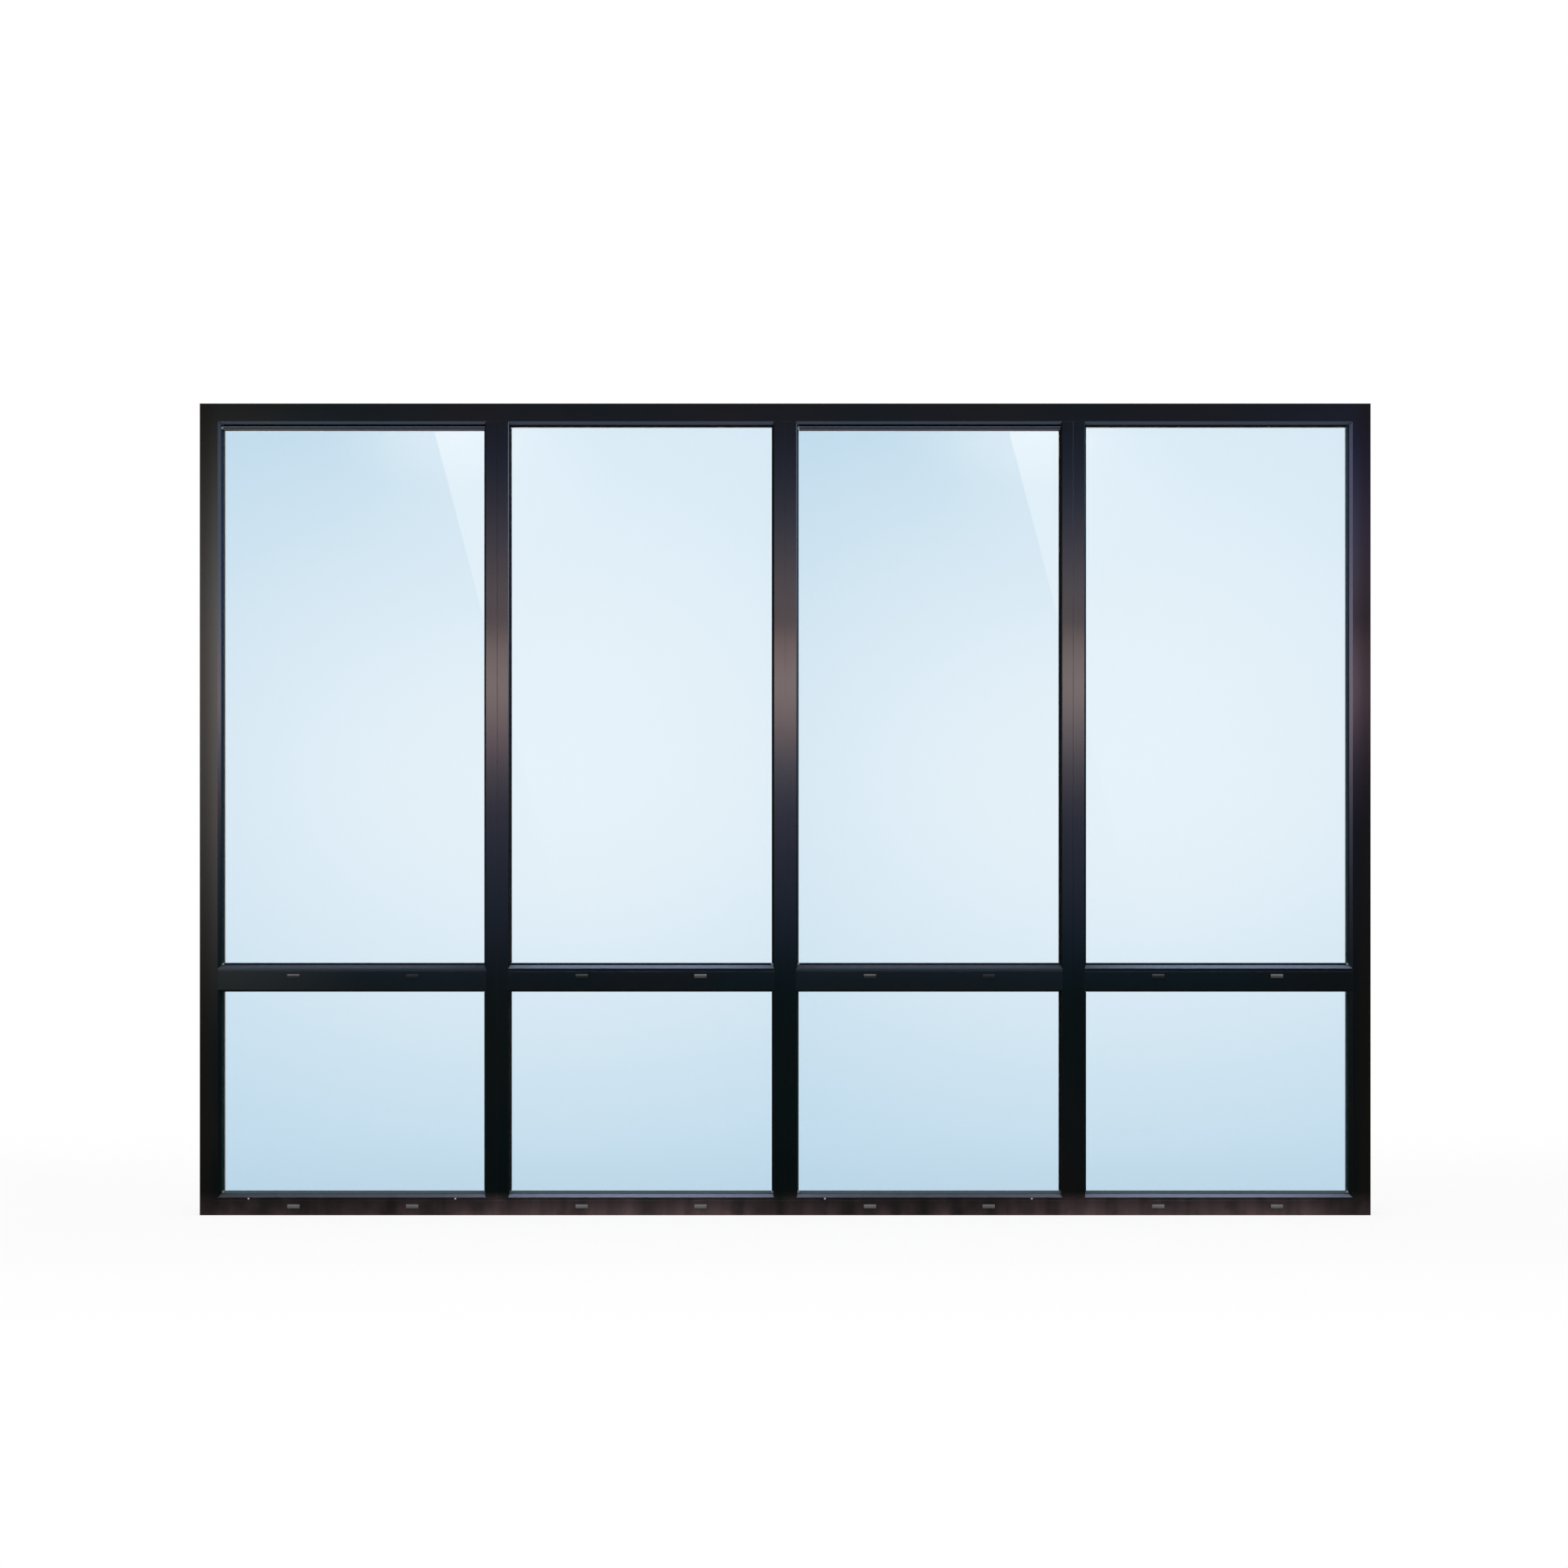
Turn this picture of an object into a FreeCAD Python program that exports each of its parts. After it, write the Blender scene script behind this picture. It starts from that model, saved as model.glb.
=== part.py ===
# Fixed picture window: four equal bays, each a tall pane above a low one, glazed with
# insulating units into a thermally broken aluminium frame. X runs along the width, Z is up
# and the weather side faces -Y. The origin is on the sill's underside, in the middle of the
# width and on the line of the fixing screws in the room-side shell.
#
# Every profile is drawn in its own cross-section: the first number runs from the outside of
# the profile towards the glass, the second from the weather face towards the room. A mullion
# or transom is drawn from its middle to both sides.
import FreeCAD, Part
import math
import os
import re
import Sketcher
from FreeCAD import Placement, Rotation, Vector

doc = FreeCAD.newDocument("fixed_picture_window")

# Driving sizes in millimetres
SIZES = {
    "window_width": 3000,       # outside of one jamb to outside of the other
    "window_height": 2080,
    "frame_face": 54,           # height of the outer frame's metal face
    "mullion_face": 61,         # width of a mullion's metal face
    "transom_face": 65,         # height of a transom's metal face
    "transom_level": 608,       # underside of the sill to the middle of the transoms
    "front_shell": 25,          # depth of the weather-side shell
    "thermal_gap": 18,          # space between the shells, bridged by the strips
    "back_shell": 27,           # depth of the room-side shell
    "wall": 1.8,                # wall of every shell
    "arris": 1.5,               # small bevel along the outside edges of the frame
    "leg_reach": 20,            # how far the outer leg stands above the rebate floor
    "leg_depth": 18,            # weather face to the back of that leg
    "frame_bevel": 8,           # bevel on the legs of the outer frame and on top of a transom
    "side_bevel": 2.5,          # bevel on a mullion and under a transom
    "ledge_line": 15,           # tip of the leg to the fine line on the sill and transoms
    "line_width": 1.6,
    "line_depth": 0.8,
    "face_line": 2.6,           # width of the line down the middle of a mullion
    "strip_web": 2,             # thickness of a thermal strip
    "strip_head": 3,            # width of the strip's dovetail
    "strip_bite": 2.5,          # how deep the dovetail sits in each shell
    "strip_inset": 5,           # side of a shell to the middle of a strip
    "rolled_gap": 0.05,         # play left when the strips are rolled in
    "pane_glass": 6,            # thickness of one sheet of glass
    "pane_cavity": 12,          # space between the two sheets
    "pane_play": 4.5,           # edge of the glass to the rebate floor
    "spacer_height": 6.5,
    "spacer_inset": 5.5,        # edge of the glass to the spacer
    "weather_gasket": 4,        # leg to glass
    "room_gasket": 4,           # glass to bead
    "gasket_lip": 4,            # gasket that shows past the leg
    "gasket_edge": 1.5,         # thickness of the lip where it meets the glass
    "gasket_seat": 6,           # flat foot of the gasket beside its root
    "root_inset": 5.2,          # tip of the leg to the middle of the gasket's root
    "root_width": 3.4,
    "root_depth": 3.8,
    "bead_step": 2,             # room face to the back of the beads
    "bead_wall": 1.5,
    "bead_bevel": 2,
    "foot_inset": 5,            # room side of a bead to the middle of its foot
    "foot_neck": 2,
    "foot_head": 3.4,
    "foot_lip": 1.6,            # metal that the foot hooks behind
    "foot_depth": 4,
    "snap_gap": 0.1,            # play of roots and feet in their grooves
    "mitre_gap": 0.3,           # open joint between cut gaskets, strips and beads
    "drain_spread": 152,        # middle of a bay to each drain
    "drain_level": 23,          # underside of the sill to the middle of its drains
    "drain_rise": 5,            # middle of a transom up to the middle of its drains
    "drain_length": 26,
    "drain_height": 5,
    "cap_width": 31,
    "cap_height": 10,
    "cap_reach": 5,
    "cap_wall": 1.2,
    "cap_slope": 3.5,           # height of the sloping roof of the cap's hood
    "cap_mouth": 2,             # back plate that shows below the hood
    "cap_fit": 0.2,             # play of the cap's spigot in its slot
    "spigot_depth": 1.5,
    "block_length": 100,
    "screw_hole": 8,
    "screw_inset": 16,          # room face to the middle of the screw holes
    "screw_end": 150,           # first screw hole from the end of a jamb
}

sheet = doc.addObject("Spreadsheet::Sheet", "Sizes")
for row, (alias, value) in enumerate(SIZES.items(), start=1):
    sheet.set(f"A{row}", alias)
    sheet.set(f"B{row}", str(value))
    sheet.setAlias(f"B{row}", alias)
doc.recompute()

# Sizes that follow from the driving ones
BAYS = 4
BAY = f"((window_width - 2 * frame_face - {BAYS - 1} * mullion_face) / {BAYS})"
BAY_PITCH = f"({BAY} + mullion_face)"
BAY_MIDDLES = [f"(frame_face + {BAY} / 2 + {number} * {BAY_PITCH})" for number in range(BAYS)]
OPENING = f"({BAY} + 2 * leg_reach)"
FRAME_FLOOR = "(frame_face - leg_reach)"
MULLION_FLOOR = "(mullion_face / 2 - leg_reach)"
TRANSOM_FLOOR = "(transom_face / 2 - leg_reach)"
MULLION_LENGTH = f"(window_height - 2 * {FRAME_FLOOR})"
UPPER_SILL = f"(transom_level + {TRANSOM_FLOOR})"
UPPER_HEIGHT = f"(window_height - {FRAME_FLOOR} - {UPPER_SILL})"
LOWER_HEIGHT = f"(transom_level - {TRANSOM_FLOOR} - {FRAME_FLOOR})"
DEPTH = "(front_shell + thermal_gap + back_shell)"
BACK_START = "(front_shell + thermal_gap)"
GLASS_FRONT = "(leg_depth + weather_gasket)"
GLASS_BACK = f"({GLASS_FRONT} + 2 * pane_glass + pane_cavity)"
BEAD_FRONT = f"({GLASS_BACK} + room_gasket)"
BEAD_BACK = f"({DEPTH} - bead_step)"
FOOT_MIDDLE = f"({BEAD_BACK} - foot_inset)"
ROOT_MIDDLE = "(leg_reach - root_inset)"
LEFT = "-window_width / 2"
FRONT = f"(screw_inset - {DEPTH})"


def sized(text):
    """Turns plain size names into references to the sheet."""
    return re.sub(r"([a-z]\w*)", r"Sizes.\1", text)


def hold(sketch, constraint, text):
    """Adds a constraint whose value follows the sizes named in the text."""
    index = sketch.addConstraint(constraint)
    sketch.setExpression(f"Constraints[{index}]", sized(text))


def loop(sketch, corners):
    """Closes straight lines through the corners and holds each at its sizes from the origin."""
    first = sketch.GeometryCount
    count = len(corners)
    turns = [2 * math.pi * number / count for number in range(count)]
    ring = [Vector(100 * math.cos(turn), 100 * math.sin(turn), 0) for turn in turns]
    lines = [Part.LineSegment(ring[number], ring[(number + 1) % count]) for number in range(count)]
    sketch.addGeometry(lines, False)
    for number in range(count):
        joint = (first + number, 2, first + (number + 1) % count, 1)
        sketch.addConstraint(Sketcher.Constraint("Coincident", *joint))
    for number, (across, deep) in enumerate(corners):
        corner = first + number
        hold(sketch, Sketcher.Constraint("DistanceX", -1, 1, corner, 1, ring[number].x), across)
        hold(sketch, Sketcher.Constraint("DistanceY", -1, 1, corner, 1, ring[number].y), deep)


def sketch_on(body, plane, loops):
    """A sketch on one of the body's own planes with the closed loops given."""
    sketch = body.newObject("Sketcher::SketchObject", "Sketch")
    planes = {feature.Role: feature for feature in body.Origin.OriginFeatures}
    sketch.AttachmentSupport = [(planes[plane], "")]
    sketch.MapMode = "FlatFace"
    for corners in loops:
        loop(sketch, corners)
    return sketch


def bar(name, section, length):
    """A straight bar of the section, whose first loop is the outline and the rest hollows."""
    body = doc.addObject("PartDesign::Body", name)
    pad = body.newObject("PartDesign::Pad", "Pad")
    pad.Profile = sketch_on(body, "XY_Plane", section)
    pad.setExpression("Length", sized(length))
    body.Tip = pad
    return body


def cut_both_ways(body, sketch, reach):
    """Cuts the sketch's loops out of the body, as far as reach to each side of its plane."""
    pocket = body.newObject("PartDesign::Pocket", "Pocket")
    pocket.Profile = sketch
    pocket.SideType = "Symmetric"
    pocket.setExpression("Length", sized(f"2 * {reach}"))
    body.Tip = pocket


def put(piece, x, y, z, turn=0):
    """Places a piece by sizes; turn swings it about Y in degrees."""
    piece.Placement = Placement(Vector(0, 0, 0), Rotation(Vector(0, 1, 0), turn))
    piece.setExpression("Placement.Base.x", sized(x))
    piece.setExpression("Placement.Base.y", sized(y))
    piece.setExpression("Placement.Base.z", sized(z))
    return piece


def copy_of(piece):
    link = doc.addObject("App::Link", "Link")
    link.LinkedObject = piece
    return link


def group(name, pieces):
    compound = doc.addObject("Part::Compound", name)
    compound.Links = pieces
    return compound


def swapped(corners):
    return [(across, along) for along, across in corners]


def mirrored(corners):
    """The same corners on the other side of the profile's middle, in reverse order."""
    return [(f"-({across})", deep) for across, deep in reversed(corners)]


def mitred(name, section, length, reach, gap):
    """A bar cut at 45 degrees at both ends; reach is the section's furthest corner."""
    body = bar(name, section, length)
    past = f"({reach} + 1)"
    start = [("0", gap), ("0", "-1"), (past, "-1"), (past, f"{past} + {gap}")]
    end = [(across, f"{length} - ({along})") for across, along in start]
    cut_both_ways(body, sketch_on(body, "XZ_Plane", [start, end]), DEPTH)
    return body


def ring(name, sections, width, height, reach, gap="0"):
    """Four mitred bars round a rectangle whose lower left corner is the origin.

    They come in the order left, top, right, bottom, as the sections do.
    """
    runs = [
        ("left", height, "0", "0", 0),
        ("top", width, "0", height, 90),
        ("right", height, width, height, 180),
        ("bottom", width, width, "0", 270),
    ]
    sides = []
    for section, (side, length, x, z, turn) in zip(sections, runs):
        body = mitred(f"{name}_{side}", section, length, reach, gap)
        sides.append(put(body, x, "0", z, turn))
    return sides


# Details that leave a face of a profile. Each corner is a place along the face and a place
# across it; into is + or -, and play widens the groove that the piece sits in.
def tongue(middle, face, into, play="0"):
    """The root that holds a gasket."""
    side = f"(root_width / 2 + {play})"
    back = f"{face} {into} (root_depth + {play})"
    return [
        (f"{middle} - {side}", face),
        (f"{middle} - {side}", back),
        (f"{middle} + {side}", back),
        (f"{middle} + {side}", face),
    ]


def foot(middle, face, into, play="0"):
    """The T-shaped foot that snaps a bead into the rebate floor."""
    near = f"(foot_neck / 2 + {play})"
    far = f"(foot_head / 2 + {play})"
    hook = f"{face} {into} (foot_lip - {play})"
    back = f"{face} {into} (foot_depth + {play})"
    return [
        (f"{middle} - {near}", face),
        (f"{middle} - {near}", hook),
        (f"{middle} - {far}", hook),
        (f"{middle} - {far}", back),
        (f"{middle} + {far}", back),
        (f"{middle} + {far}", hook),
        (f"{middle} + {near}", hook),
        (f"{middle} + {near}", face),
    ]


def dovetail(middle, face, into, play="0"):
    """The edge of a thermal strip."""
    back = f"{face} {into} (strip_bite + {play})"
    return [
        (f"{middle} - strip_web / 2 - {play}", face),
        (f"{middle} - strip_head / 2 - {play}", back),
        (f"{middle} + strip_head / 2 + {play}", back),
        (f"{middle} + strip_web / 2 + {play}", face),
    ]


def fine_line(middle, width):
    """A shallow V drawn along the weather face."""
    return [
        (f"{middle} - {width} / 2", "0"),
        (middle, "line_depth"),
        (f"{middle} + {width} / 2", "0"),
    ]


def leg(floor, bevel):
    """The outer leg from the weather face to the rebate floor, with its gasket groove."""
    root = tongue(f"({floor} + {ROOT_MIDDLE})", "leg_depth", "-", "snap_gap")
    return [
        (f"{floor} + leg_reach - {bevel}", "0"),
        (f"{floor} + leg_reach", bevel),
        (f"{floor} + leg_reach", "leg_depth"),
        *reversed(root),
        (floor, "leg_depth"),
        (floor, "front_shell"),
    ]


def leg_chamber(floor, bevel):
    """The hollow of the leg, which steps back where the gasket groove is."""
    tip = f"({floor} + leg_reach)"
    groove = f"({floor} + {ROOT_MIDDLE} - root_width / 2 - snap_gap - wall)"
    roof = "leg_depth - root_depth - snap_gap - wall"
    return [
        (floor, "wall"),
        (f"{tip} - {bevel}", "wall"),
        (f"{tip} - wall", bevel),
        (f"{tip} - wall", roof),
        (groove, roof),
        (groove, "leg_depth - wall"),
        (floor, "leg_depth - wall"),
    ]


def chamber(low, high, front, back):
    return [(low, front), (high, front), (high, back), (low, back)]


def ledge_line(floor):
    return fine_line(f"({floor} + leg_reach - ledge_line)", "line_width")


FRONT_CHAMBER = ("wall", "(front_shell - strip_bite - rolled_gap - wall)")
BACK_CHAMBER = (f"({BACK_START} + strip_bite + rolled_gap + wall)", f"({DEPTH} - wall)")
FOOT_CLEAR = "(foot_depth + snap_gap + wall)"

# Outer frame, weather side: mitred hollow extrusions with the leg that the glass sits behind.
# Each holds two dovetail grooves for the thermal strips, and the sill has a fine line.
FRAME_STRIPS = ["strip_inset", f"({FRAME_FLOOR} - strip_inset)"]


def frame_front(line):
    grooves = [dovetail(middle, "front_shell", "-", "rolled_gap") for middle in FRAME_STRIPS]
    outline = [
        ("0", "arris"),
        ("arris", "0"),
        *line,
        *leg(FRAME_FLOOR, "frame_bevel"),
        *reversed(grooves[1]),
        *reversed(grooves[0]),
        ("0", "front_shell"),
    ]
    hollow = chamber("wall", f"{FRAME_FLOOR} - wall", *FRONT_CHAMBER)
    return [outline, hollow, leg_chamber(FRAME_FLOOR, "frame_bevel")]


plain_front = frame_front([])
sill_front = frame_front(ledge_line(FRAME_FLOOR))
FRAME_SIZE = ("window_width", "window_height", "frame_face")
front_ring = ring("front", [plain_front, plain_front, plain_front, sill_front], *FRAME_SIZE)

# Outer frame, room side: the shell that the beads snap into.
back_grooves = [dovetail(middle, BACK_START, "+", "rolled_gap") for middle in FRAME_STRIPS]
FRAME_BACK = [
    [
        ("0", BACK_START),
        *back_grooves[0],
        *back_grooves[1],
        (FRAME_FLOOR, BACK_START),
        *swapped(foot(FOOT_MIDDLE, FRAME_FLOOR, "-", "snap_gap")),
        (FRAME_FLOOR, DEPTH),
        ("arris", DEPTH),
        ("0", f"{DEPTH} - arris"),
    ],
    chamber("wall", f"{FRAME_FLOOR} - {FOOT_CLEAR}", *BACK_CHAMBER),
]
back_ring = ring("back", [FRAME_BACK] * 4, *FRAME_SIZE)


# Thermal strips: thin plastic webs rolled into the dovetails of both shells.
def strip_section(middle):
    front = dovetail(middle, "front_shell", "-")
    back = dovetail(middle, BACK_START, "+")
    return [[*front, *reversed(back)]]


frame_strips = []
for number, middle in enumerate(FRAME_STRIPS):
    sections = [strip_section(middle)] * 4
    frame_strips.append(ring(f"strip_{number}", sections, *FRAME_SIZE, "mitre_gap"))


# Mullions and transoms: a narrow body with a leg on each side. A mullion has a fine line down
# its middle. A transom has the frame's wide bevel and line on its upper leg, which is the one
# on the minus side of its section.
def divider_half(floor, bevel, line=()):
    groove = dovetail(f"({floor} - strip_inset)", "front_shell", "-", "rolled_gap")
    return [*line, *leg(floor, bevel), *reversed(groove)]


def divider_front(floor, middle, plus_bevel, minus_bevel, minus_line=()):
    """The weather-side section; middle is the line that its middle has, if any."""
    outline = [
        *middle,
        *divider_half(floor, plus_bevel),
        *mirrored(divider_half(floor, minus_bevel, minus_line)),
    ]
    front, back = FRONT_CHAMBER
    hollow = chamber(f"-({floor} - wall)", f"{floor} - wall", f"{front} + line_depth", back)
    return [
        outline,
        hollow,
        leg_chamber(floor, plus_bevel),
        mirrored(leg_chamber(floor, minus_bevel)),
    ]


def divider_back(floor):
    half = [
        *dovetail(f"({floor} - strip_inset)", BACK_START, "+", "rolled_gap"),
        (floor, BACK_START),
        *swapped(foot(FOOT_MIDDLE, floor, "-", "snap_gap")),
        (floor, DEPTH),
    ]
    hollow = chamber(f"-({floor} - {FOOT_CLEAR})", f"{floor} - {FOOT_CLEAR}", *BACK_CHAMBER)
    return [[*half, *mirrored(half)], hollow]


def divider_strips(name, floor, length):
    plus = bar(f"{name}_plus", strip_section(f"({floor} - strip_inset)"), length)
    minus = bar(f"{name}_minus", strip_section(f"-({floor} - strip_inset)"), length)
    return [plus, minus]


def milled(body, length, start_bevel, end_bevel):
    """Mills both ends of a divider to the outline of the leg that each one meets."""
    ends = []
    for bevel in (start_bevel, end_bevel):
        ends.append([
            ("0", "0"),
            ("0", f"leg_reach - {bevel}"),
            (bevel, "leg_reach"),
            ("leg_depth", "leg_reach"),
            ("leg_depth", "0"),
        ])
    ends[1] = [(deep, f"{length} - ({along})") for deep, along in ends[1]]
    cut_both_ways(body, sketch_on(body, "YZ_Plane", ends), "transom_face")
    return body


MULLION_SECTION = divider_front(
    MULLION_FLOOR, fine_line("0", "face_line"), "side_bevel", "side_bevel")
mullion_front = bar("mullion_front", MULLION_SECTION, MULLION_LENGTH)
milled(mullion_front, MULLION_LENGTH, "frame_bevel", "frame_bevel")
mullion_back = bar("mullion_back", divider_back(MULLION_FLOOR), MULLION_LENGTH)
mullion_strips = divider_strips("mullion_strip", MULLION_FLOOR, MULLION_LENGTH)

TRANSOM_SECTION = divider_front(
    TRANSOM_FLOOR, (), "side_bevel", "frame_bevel", ledge_line(TRANSOM_FLOOR))
transom_back = bar("transom_back", divider_back(TRANSOM_FLOOR), OPENING)
transom_strips = divider_strips("transom_strip", TRANSOM_FLOOR, OPENING)


def drain_slots(body, place, middles):
    """Cuts a level slot through the weather wall at each middle along the bar."""
    slots = []
    for middle in middles:
        slots.append(chamber(
            f"{place} - drain_height / 2",
            f"{place} + drain_height / 2",
            f"{middle} - drain_length / 2",
            f"{middle} + drain_length / 2",
        ))
    pocket = body.newObject("PartDesign::Pocket", "Drains")
    pocket.Profile = sketch_on(body, "XZ_Plane", slots)
    pocket.setExpression("Length", sized("wall + line_depth"))
    body.Tip = pocket


# The sill and the transoms drain to the weather through two slots in each bay.
sill_drains = []
for middle in BAY_MIDDLES:
    sill_drains += [f"({middle} - drain_spread)", f"({middle} + drain_spread)"]
transom_drains = [f"({OPENING} / 2 - drain_spread)", f"({OPENING} / 2 + drain_spread)"]
drain_slots(front_ring[3], "drain_level", sill_drains)
transom_fronts = []
for number in range(1, BAYS + 1):
    start = "frame_bevel" if number == 1 else "side_bevel"
    end = "frame_bevel" if number == BAYS else "side_bevel"
    body = milled(bar("transom_front", TRANSOM_SECTION, OPENING), OPENING, start, end)
    drain_slots(body, "-drain_rise", transom_drains)
    transom_fronts.append(body)


# Drain caps: small hooded mouldings, closed at the sides and open below, with a spigot that
# pushes into the slot. The middle of a cap's back is its own origin.
def middle_box(body, kind, name, wide, tall):
    """A pad or pocket from a rectangle about the middle of the cap's back."""
    feature = body.newObject(kind, name)
    sides = (f"-({wide}) / 2", f"({wide}) / 2", f"-({tall}) / 2", f"({tall}) / 2")
    feature.Profile = sketch_on(body, "XZ_Plane", [chamber(*sides)])
    body.Tip = feature
    return feature


def drain_cap():
    half = "cap_height / 2"
    body = doc.addObject("PartDesign::Body", "drain_cap")
    hood = body.newObject("PartDesign::Pad", "Hood")
    hood.Profile = sketch_on(body, "YZ_Plane", [[
        ("0", f"-{half}"),
        ("-cap_wall", f"-{half}"),
        ("-cap_wall", f"cap_mouth - {half}"),
        ("-cap_reach", f"cap_mouth - {half}"),
        ("-cap_reach", f"{half} - cap_slope"),
        ("-cap_wall", half),
        ("0", half),
    ]])
    hood.SideType = "Symmetric"
    hood.setExpression("Length", sized("cap_width"))
    hollow = sketch_on(body, "YZ_Plane", [[
        ("-cap_wall", f"-{half}"),
        ("cap_wall - cap_reach", f"-{half}"),
        ("cap_wall - cap_reach", f"{half} - cap_slope - cap_wall / 2"),
        ("-cap_wall", f"{half} - 1.5 * cap_wall"),
    ]])
    cut_both_ways(body, hollow, "(cap_width / 2 - cap_wall)")
    size = ("drain_length - 2 * cap_fit", "drain_height - 2 * cap_fit")
    spigot = middle_box(body, "PartDesign::Pad", "Spigot", *size)
    spigot.Reversed = True
    spigot.setExpression("Length", sized("spigot_depth"))
    size = [f"{side} - 2 * cap_wall" for side in size]
    passage = middle_box(body, "PartDesign::Pocket", "Passage", *size)
    passage.SideType = "Symmetric"
    passage.setExpression("Length", sized("2 * (spigot_depth + cap_wall)"))
    return body


cap = drain_cap()


def screw_holes(body, places):
    """Bores screw holes from the rebate floor out through the perimeter."""
    sketch = sketch_on(body, "YZ_Plane", [])
    for number, along in enumerate(places):
        middle = Vector(10 * number, 0, 0)
        sketch.addGeometry(Part.Circle(middle, Vector(0, 0, 1), 1), False)
        hold(sketch, Sketcher.Constraint("Radius", number, 1), "screw_hole / 2")
        depth = Sketcher.Constraint("DistanceX", -1, 1, number, 3, middle.x)
        hold(sketch, depth, f"{DEPTH} - screw_inset")
        hold(sketch, Sketcher.Constraint("DistanceY", -1, 1, number, 3, middle.y), along)
    cut_both_ways(body, sketch, "frame_face")


# Fixing screws run through the room-side shell of the jambs and the head, under the beads.
JAMB_SCREWS = ["screw_end", "window_height / 2", "window_height - screw_end"]
for side in (back_ring[0], back_ring[2]):
    screw_holes(side, JAMB_SCREWS)
screw_holes(back_ring[1], [BAY_MIDDLES[0], BAY_MIDDLES[-1]])

nodes = []


def node(piece, name):
    """Names a finished sub-part after the file that it goes to."""
    piece.Label = name
    nodes.append(piece)


# The rings go to their places: left jamb, head, right jamb, sill.
RING_PLACES = [
    ("left_jamb", LEFT, "0", 0),
    ("head", LEFT, "window_height", 90),
    ("right_jamb", "window_width / 2", "window_height", 180),
    ("sill", "window_width / 2", "0", 270),
]
for sides, shell in ((front_ring, "front"), (back_ring, "back")):
    for body, (side, x, z, turn) in zip(sides, RING_PLACES):
        node(put(body, x, FRONT, z, turn), f"{side}_{shell}")
for sides in frame_strips:
    for body, (_, x, z, turn) in zip(sides, RING_PLACES):
        put(body, x, FRONT, z, turn)
level_strips = [sides[number] for sides in frame_strips for number in (1, 3)]
upright_strips = [sides[number] for sides in frame_strips for number in (0, 2)]
node(group("level_strips", level_strips), "frame_level_thermal_strips")
node(group("upright_strips", upright_strips), "frame_upright_thermal_strips")

strips = []
for number, name in enumerate(("left", "centre", "right"), start=1):
    x = f"{LEFT} + frame_face - mullion_face / 2 + {number} * {BAY_PITCH}"
    spot = (x, FRONT, FRAME_FLOOR)
    node(put(copy_of(mullion_front), *spot), f"mullion_{name}_front")
    node(put(copy_of(mullion_back), *spot), f"mullion_{name}_back")
    strips += [put(copy_of(strip), *spot) for strip in mullion_strips]
node(group("mullion_strips", strips), "mullion_thermal_strips")

BAY_LEFTS = [f"{LEFT} + {FRAME_FLOOR} + {number} * {BAY_PITCH}" for number in range(BAYS)]
strips = []
for number, (x, front) in enumerate(zip(BAY_LEFTS, transom_fronts), start=1):
    spot = (x, FRONT, "transom_level", 90)
    node(put(front, *spot), f"transom_{number}_front")
    node(put(copy_of(transom_back), *spot), f"transom_{number}_back")
    strips += [put(copy_of(strip), *spot) for strip in transom_strips]
node(group("transom_strips", strips), "transom_thermal_strips")


# Each pane is an insulating unit: two sheets of glass on a spacer, standing on setting
# blocks, held between the weather gasket in the leg and the room gasket in the bead.
def box(name, length, depth, height, x="0", y="0", z="0"):
    block = doc.addObject("Part::Box", name)
    block.setExpression("Length", sized(length))
    block.setExpression("Width", sized(depth))
    block.setExpression("Height", sized(height))
    return put(block, x, y, z)


def unit_glass(height):
    """The two sheets of a unit in an opening of the height given."""
    size = (f"{OPENING} - 2 * pane_play", "pane_glass", f"{height} - 2 * pane_play")
    outer = box("outer_sheet", *size, "pane_play", GLASS_FRONT, "pane_play")
    behind = f"{GLASS_FRONT} + pane_glass + pane_cavity"
    inner = box("inner_sheet", *size, "pane_play", behind, "pane_play")
    return group("glass", [outer, inner])


def unit_spacer(height):
    """The bent spacer bar that holds the sheets apart, as one closed ring."""
    y = f"{GLASS_FRONT} + pane_glass"
    boxes = []
    for name, inset in (
        ("outside", "(pane_play + spacer_inset)"),
        ("inside", "(pane_play + spacer_inset + spacer_height)"),
    ):
        size = (f"{OPENING} - 2 * {inset}", "pane_cavity", f"{height} - 2 * {inset}")
        boxes.append(box(f"spacer_{name}", *size, inset, y, inset))
    spacer = doc.addObject("Part::Cut", "spacer")
    spacer.Base, spacer.Tool = boxes
    return spacer


def setting_blocks():
    """Two blocks under a unit, at the quarter points of its width."""
    size = ("block_length", "2 * pane_glass + pane_cavity", "pane_play")
    left = box("block_left", *size, f"{OPENING} / 4 - block_length / 2", GLASS_FRONT)
    right = box("block_right", *size, f"3 * {OPENING} / 4 - block_length / 2", GLASS_FRONT)
    return group("blocks", [left, right])


def gasket_section(face, into, glass):
    """A gasket seated on a face and rooted into it, with a lip that leans out to the glass."""
    low = f"{ROOT_MIDDLE} - root_width / 2 - gasket_seat"
    return [[
        (low, face),
        *tongue(ROOT_MIDDLE, face, into),
        ("leg_reach", face),
        ("leg_reach + gasket_lip", f"{glass} {into} gasket_edge"),
        ("leg_reach + gasket_lip", glass),
        (low, glass),
    ]]


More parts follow.
